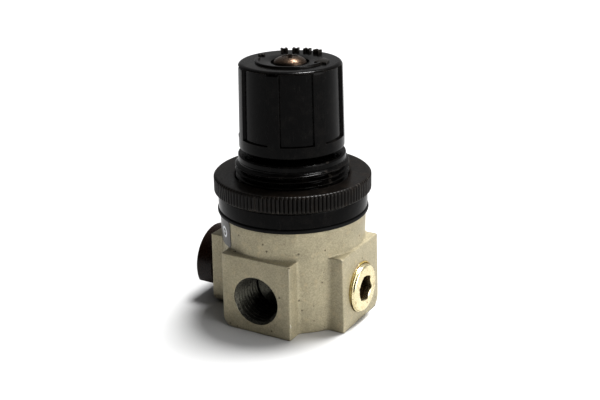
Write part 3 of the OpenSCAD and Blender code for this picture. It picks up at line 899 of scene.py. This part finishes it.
def make_bonnet():
    """Bonnet: smooth flange, panel thread cut as a helix, plain band, and the collar's locking teeth."""
    flange_r = bonnet_high.x
    low, collar_top = bonnet_low.z, bonnet_high.z
    flange_low = gasket_high.z
    root_r = NECK_R - 0.92
    spigot_r = MAIN_BORE_R - 0.05
    rim_r, bore_r, bush_r, collar_r = 14.0, 11.8, 4.25, 8.2
    crown = 42.0
    outer = [(rim_r, low, 0.2), (spigot_r, low, 0.2), (spigot_r, flange_low, 0.1),
             (flange_r, flange_low, 0.3), (flange_r, FLANGE_TOP, 0.45), (root_r + 0.4, FLANGE_TOP, 0.2)]
    thread_low = FLANGE_TOP + 0.6
    thread_long = THREAD_TOP - FLANGE_TOP - 0.6
    profile = rounded(outer + [(root_r + 0.4, thread_low, 0)], 0.2, 4, closed=False)
    steps = int(thread_long / (NECK_PITCH / 14))
    thread = [(root_r, thread_low + thread_long * k / steps) for k in range(1, steps)]
    rest = [(root_r, THREAD_TOP, 0.1), (BAND_R, THREAD_TOP + 0.15, 0.1), (BAND_R, NECK_TOP, 0.5),
            (collar_r, NECK_TOP, 0.3), (collar_r, collar_top, 0.2), (bush_r, collar_top, 0.2),
            (bush_r, crown, 0.1), (bore_r, crown, 0.4), (bore_r, low + 2, 0.2), (rim_r, low + 2, 0.2),
            (rim_r, low, 0)]
    profile += thread + rounded(rest, 0.2, 4, closed=False)
    teeth = 24

    def shape(r, z, a):
        if r == root_r:
            wave = thread_wave(z / NECK_PITCH - a / (2 * math.pi) + 0.52)
            fade_in = smoothstep(z, FLANGE_TOP + 0.4, FLANGE_TOP + 1.2)
            fade_out = smoothstep(z, THREAD_TOP - 0.05, THREAD_TOP - 0.7)
            return r + (NECK_R - root_r) * wave * (fade_in * fade_out)
        if collar_r - 0.3 < r < collar_r + 0.1 and z > collar_top - 1.8:
            wave = math.cos(teeth * a)
            return r + 0.8 * smoothstep(wave, 0.05, 0.5)
        return r

    return lathe("bonnet_shell", profile, even_angles(288), shape, sharp=40)


def make_ring_nut():
    """Ring nut with straight knurls, a dished top and a chamfered foot."""
    r, low, top = ring_high.x, ring_low.z, ring_high.z
    inner = NECK_R + 0.05
    edge_low = low + 0.4
    edge_top = top - 0.5
    foot = [(inner, low, 0.2), (r - 0.6, low, 0.1), (r - 0.42, edge_low - 0.15, 0.05)]
    profile = rounded(foot, 0.1, 3, closed=False)
    profile += [(r - 0.2, edge_low), (r, edge_low + 0.12)]
    profile += [(r, edge_low + 0.12 + (edge_top - edge_low - 0.12) * k / 8) for k in range(1, 9)]
    profile += [(r - 0.10, edge_top + 0.10), (r - 0.22, edge_top + 0.24), (r - 0.45, top - 0.06),
                (r - 0.75, top)]
    profile += [(r - 1.1, top - 0.03), (inner + 0.9, top - 0.10), (inner + 0.35, top - 0.25),
                (inner, top - 0.6)]

    def shape(radius, z, a):
        if radius < r - 0.25:
            return radius
        wave = abs(math.sin(KNURLS * a / 2))
        depth = 0.40 * (1 - smoothstep(wave, 0.05, 0.85))
        end = 1.0 if z > edge_low + 0.1 else 0.8
        return radius - depth * end * (1.0 if z <= edge_top else 0.45)

    return lathe("knurled_ring", profile, even_angles(KNURLS * 8), shape, sharp=55)


# ---------------------------------------------------------------- knob

def panel_angles():
    """Angles round the knob, closer together at the edges of its grip panels."""
    near_edge = [PANEL_HALF + d for d in (-2.0, -1.2, -0.7, -0.3, 0, 0.3, 0.7, 1.3, 2.5)]
    offsets = [0, 3, 6, 9, 12] + near_edge
    local = sorted({-o for o in offsets} | set(offsets) | {-180 / PANEL_COUNT})
    angles = []
    for i in range(PANEL_COUNT):
        centre = FIRST_PANEL + i * 2 * math.pi / PANEL_COUNT
        angles += [centre + math.radians(o) for o in local]
    return angles


def make_knob():
    """Knob shell with recessed grip panels, a rounded foot, webs inside and the raised marks on top."""
    angles = panel_angles()
    low = knob_low.z
    top = knob_high.z - MARK_HEIGHT
    base_r, top_r = 13.8, 13.4
    panel_low, panel_high = low + 3.2, top - 0.62
    recess_floor = screw_low.z + SCREW_SHANK - 0.05
    cavity_top = top - 3.3
    hub_low = 50.6
    teeth_low, teeth_high = 48.2, 50.5
    wall_in_r, teeth_r = 11.3, 9.4

    def wall_r(z):
        return base_r + (top_r - base_r) * (z - panel_low) / (top - panel_low)

    foot = 0.4
    outer = [(wall_in_r, low + 0.3), (wall_in_r + 0.3, low)]
    outer += [(base_r - foot + foot * math.sin(a), low + foot - foot * math.cos(a))
              for a in [math.pi / 2 * k / 5 for k in range(6)]]
    outer += [(base_r, low + 0.9), (base_r, low + 1.6), (base_r, low + 2.4), (base_r, low + 2.9)]
    for z in (panel_low - 0.12, panel_low - 0.04, panel_low + 0.04, panel_low + 0.12, panel_low + 0.3):
        outer.append((wall_r(z), z))
    steps = 18
    for k in range(1, steps):
        z = panel_low + 0.3 + (panel_high - panel_low - 0.6) * k / steps
        outer.append((wall_r(z), z))
    rim = 1.2
    for k in range(13):
        a = math.pi / 2 * k / 12
        outer.append((wall_r(top - rim) - rim * (1 - math.cos(a)), top - rim + rim * math.sin(a)))
    outer += [(10.5, top - 0.02), (8.5, top - 0.03), (6.0, top - 0.03)]
    inner = rounded([
        (4.9, top - 0.03, 0.25), (4.9, recess_floor, 0.2), (4.3, recess_floor, 0.1), (4.3, hub_low, 0.1),
        (6.2, hub_low, 0.3), (6.2, cavity_top, 0.5), (wall_in_r, cavity_top, 0.5),
        (wall_in_r, teeth_high, 0.2), (teeth_r, teeth_high - 0.2, 0.2),
        (teeth_r, teeth_low + 0.1, 0.2), (wall_in_r, teeth_low, 0.2)], 0.2, 3)
    depth = 0.68
    pitch = 2 * math.pi / PANEL_COUNT

    def shape(r, z, a):
        if r < wall_in_r + 0.4 or z < panel_low - 0.2 or z > panel_high + 0.3:
            return r
        turn = (a - FIRST_PANEL + pitch / 2) % pitch - pitch / 2
        inside = 1 - smoothstep(abs(math.degrees(turn)), PANEL_HALF - 0.75, PANEL_HALF + 0.65)
        tall = smoothstep(z, panel_low - 0.13, panel_low + 0.13)
        floor = wall_r(z) - depth
        if z >= panel_high - 0.25:
            floor += smoothstep(z, panel_high - 0.25, panel_high + 0.25) * 2
        sunk = min(r, floor)
        return r + (sunk - r) * inside * tall

    shell = lathe("knob_shell", outer + inner, angles, shape, sharp=35)
    parts = [shell] + knob_marks(top) + knob_webs(top)
    return join("grip_knob", parts, 35)


def block(points, z0, z1, bevel=0.12):
    """A low block on a convex outline, its upper edges bevelled."""
    centre = Vector((sum(p[0] for p in points) / len(points), sum(p[1] for p in points) / len(points)))

    def ring(z, inset):
        out = []
        for p in points:
            away = Vector(p) - centre
            q = centre + away * (1 - inset / max(away.length, 0.3))
            out.append((q.x, q.y, z))
        return out

    rings = [ring(z0, 0), ring(z1 - bevel, 0), ring(z1 - bevel * 0.3, bevel * 0.4), ring(z1, bevel * 1.2)]
    return loft("block", rings)


def knob_marks(top):
    """The raised arc with an arrow head, a small plus sign, and plain index blocks."""
    low = top - 0.2
    high = top + 0.45
    parts = []
    count = 60
    middle = 8.55
    start, sweep = math.radians(190), math.radians(172)
    section = rounded([(middle - 0.5, low, 0), (middle + 0.5, low, 0), (middle + 0.42, high, 0.18),
                       (middle - 0.42, high, 0.18)], 0.15, 3)
    rings = []
    for i in range(count + 1):
        a = start + sweep * i / count
        rings.append([(r * math.cos(a), r * math.sin(a), z) for r, z in section])
    parts.append(loft("arc", rings, closed=False, sharp=35))
    tip = start + sweep
    radial = Vector((math.cos(tip), math.sin(tip)))
    ahead = Vector((-radial.y, radial.x))
    head = [(1.7, -0.05), (1.0, 3.2), (-1.4, 5.4), (-1.6, -0.05)]
    parts.append(block([tuple(radial * (middle + x) + ahead * y) for x, y in head], low, high, 0.15))
    for i in range(4):
        parts += index_mark(math.radians(79 + 16.4 * i), low, top + MARK_HEIGHT)
    plus = math.radians(168)
    for turn in (0, math.pi / 2):
        parts.append(bar(9.9, plus, 2.0, 0.6, turn, low, high - 0.1))
    return parts


def bar(radius, angle, length, width, turn, low, high, shift=(0.0, 0.0)):
    """A small raised bar whose centre is at radius and angle on the knob's top."""
    c, s = math.cos(turn), math.sin(turn)
    half_l, half_w = length / 2, width / 2
    corners = [(-half_l, -half_w), (half_l, -half_w), (half_l, half_w), (-half_l, half_w)]
    out_c, out_s = math.cos(angle), math.sin(angle)
    points = []
    for x, y in corners:
        lx, ly = x * c - y * s + shift[0], x * s + y * c + shift[1]
        px, py = radius + ly, -lx
        points.append((px * out_c - py * out_s, px * out_s + py * out_c))
    return block(points, low, high)


def index_mark(angle, low, high):
    """One plain index mark: two short radial bars side by side, joined by a third."""
    radius, thick, long = 10.9, 0.6, 1.55
    sides = [bar(radius, angle, thick, long, 0, low, high, (side * thick, 0)) for side in (-1, 1)]
    return sides + [bar(radius, angle, 2 * thick, thick, 0, low, high - 0.1)]


def knob_webs(top):
    """Thin webs that stiffen the inside of the knob."""
    near, far, half = 5.8, 11.6, 0.6
    outline = [(near, -half), (far, -half), (far, half), (near, half)]
    webs = []
    for i in range(PANEL_COUNT):
        web = prism("web", outline, 51.6, top - 3.0)
        webs.append(turned(web, Matrix.Rotation(2 * math.pi * i / PANEL_COUNT, 4, "Z")))
    return webs


def make_screw():
    """Domed screw with a cross recess."""
    floor = screw_low.z + SCREW_SHANK
    top = screw_high.z
    head_r = screw_high.x
    lip = 0.5
    rows = [(1.95, screw_low.z), (1.95, floor), (head_r - 0.25, floor), (head_r, floor + 0.2)]
    rows += [(head_r * math.cos(a), floor + lip + (top - floor - lip) * math.sin(a))
             for a in [math.pi / 2 * k / 18 for k in range(18)]]
    screw = lathe("domed_screw", rows, even_angles(72), closed=False, sharp=40)
    cutters = []
    for turn in (30, 120):
        arm = loft("arm", [[(x * length, y * width, z) for x, y in ((-1, -1), (1, -1), (1, 1), (-1, 1))]
                           for length, width, z in ((1.2, 0.35, top - 1.7), (2.35, 0.52, top + 0.3))])
        cutters.append(turned(arm, Matrix.Rotation(math.radians(turn), 4, "Z")))
    return cut(screw, cutters, 40)


# ---------------------------------------------------------------- stage

def make_camera():
    """The camera stands in front and to the right, above the knob, and looks a little down."""
    camera = bpy.data.cameras.new("camera")
    camera.lens = 63.81
    camera.sensor_width = 36
    camera.clip_start = 0.01
    obj = add_object("camera", camera)
    azimuth, pitch, roll = math.radians(30.03), math.radians(20.45), math.radians(-1.148)
    distance, height, aside = 265.5, 129.25, 1.83
    level = math.cos(pitch)
    forward = Vector((-math.sin(azimuth) * level, math.cos(azimuth) * level, -math.sin(pitch)))
    right = Vector((math.cos(azimuth), math.sin(azimuth), 0))
    up = right.cross(forward)
    rolled_right = right * math.cos(roll) + up * math.sin(roll)
    rolled_up = up * math.cos(roll) - right * math.sin(roll)
    rotation = Matrix((rolled_right, rolled_up, -forward)).transposed().to_4x4()
    position = Vector((math.sin(azimuth) * distance, -math.cos(azimuth) * distance, height)) + right * aside
    obj.matrix_world = Matrix.Translation(position * MM) @ rotation
    bpy.context.scene.camera = obj


def make_floor():
    size = 6.0
    points = [(-size, -size, 0), (size, -size, 0), (size, size, 0), (-size, size, 0)]
    mesh = bpy.data.meshes.new("floor")
    mesh.from_pydata(points, [], [(0, 1, 2, 3)])
    floor = add_object("floor", mesh)
    material = bpy.data.materials.new("floor")
    material.use_nodes = True
    shader = material.node_tree.nodes["Principled BSDF"]
    shader.inputs["Base Color"].default_value = rgb(0.60, 0.60, 0.60)
    shader.inputs["Roughness"].default_value = 0.6
    shader.inputs["Specular IOR Level"].default_value = 0.2
    floor.data.materials.append(material)


def wide_light(name, source, strength, width):
    """A distant soft light, which lights the whole floor evenly."""
    light = bpy.data.lights.new(name, "SUN")
    light.energy = strength
    light.angle = math.radians(width)
    obj = add_object(name, light)
    obj.matrix_world = Vector(source).to_track_quat("Z", "Y").to_matrix().to_4x4()


def make_world():
    """Pale surroundings, brighter behind and above the object than in front."""
    world = bpy.data.worlds.new("studio")
    bpy.context.scene.world = world
    world.use_nodes = True
    tree = world.node_tree
    place = tree.nodes.new("ShaderNodeTexCoord")
    facing = tree.nodes.new("ShaderNodeVectorMath")
    facing.operation = "DOT_PRODUCT"
    facing.inputs[1].default_value = WORLD_BRIGHT_SIDE
    ramp = tree.nodes.new("ShaderNodeMapRange")
    ramp.interpolation_type = "SMOOTHSTEP"
    for key, value in {1: -0.3, 2: 0.7, 3: WORLD_DARK, 4: WORLD_BRIGHT}.items():
        ramp.inputs[key].default_value = value
    tree.links.new(place.outputs["Generated"], facing.inputs[0])
    tree.links.new(facing.outputs["Value"], ramp.inputs["Value"])
    tree.links.new(ramp.outputs[0], tree.nodes["Background"].inputs["Strength"])


def make_lights():
    make_world()
    wide_light("top", *TOP_LIGHT)
    wide_light("side", *SIDE_LIGHT)
    settings = bpy.context.scene.view_settings
    settings.view_transform = "Standard"
    settings.gamma = 0.8


# ---------------------------------------------------------------- assembly

make_camera()
make_floor()
make_lights()

for node_name, node_object in frame["nodes"].items():
    dress(node_object, SLOT_OF[node_name])

place(make_body(), "body")
place(make_plug(), "gauge_port_plug")
place(make_sealant(), "plug_sealant")
place(make_port_cap(), "port_cap")
place(make_label(), "rating_label")
place(make_bottom_cap(), "bottom_cap")
place(make_gasket(), "bonnet_gasket")
place(make_bonnet(), "bonnet")
place(make_ring_nut(), "panel_nut")
place(make_knob(), "knob")
place(make_screw(), "knob_screw")
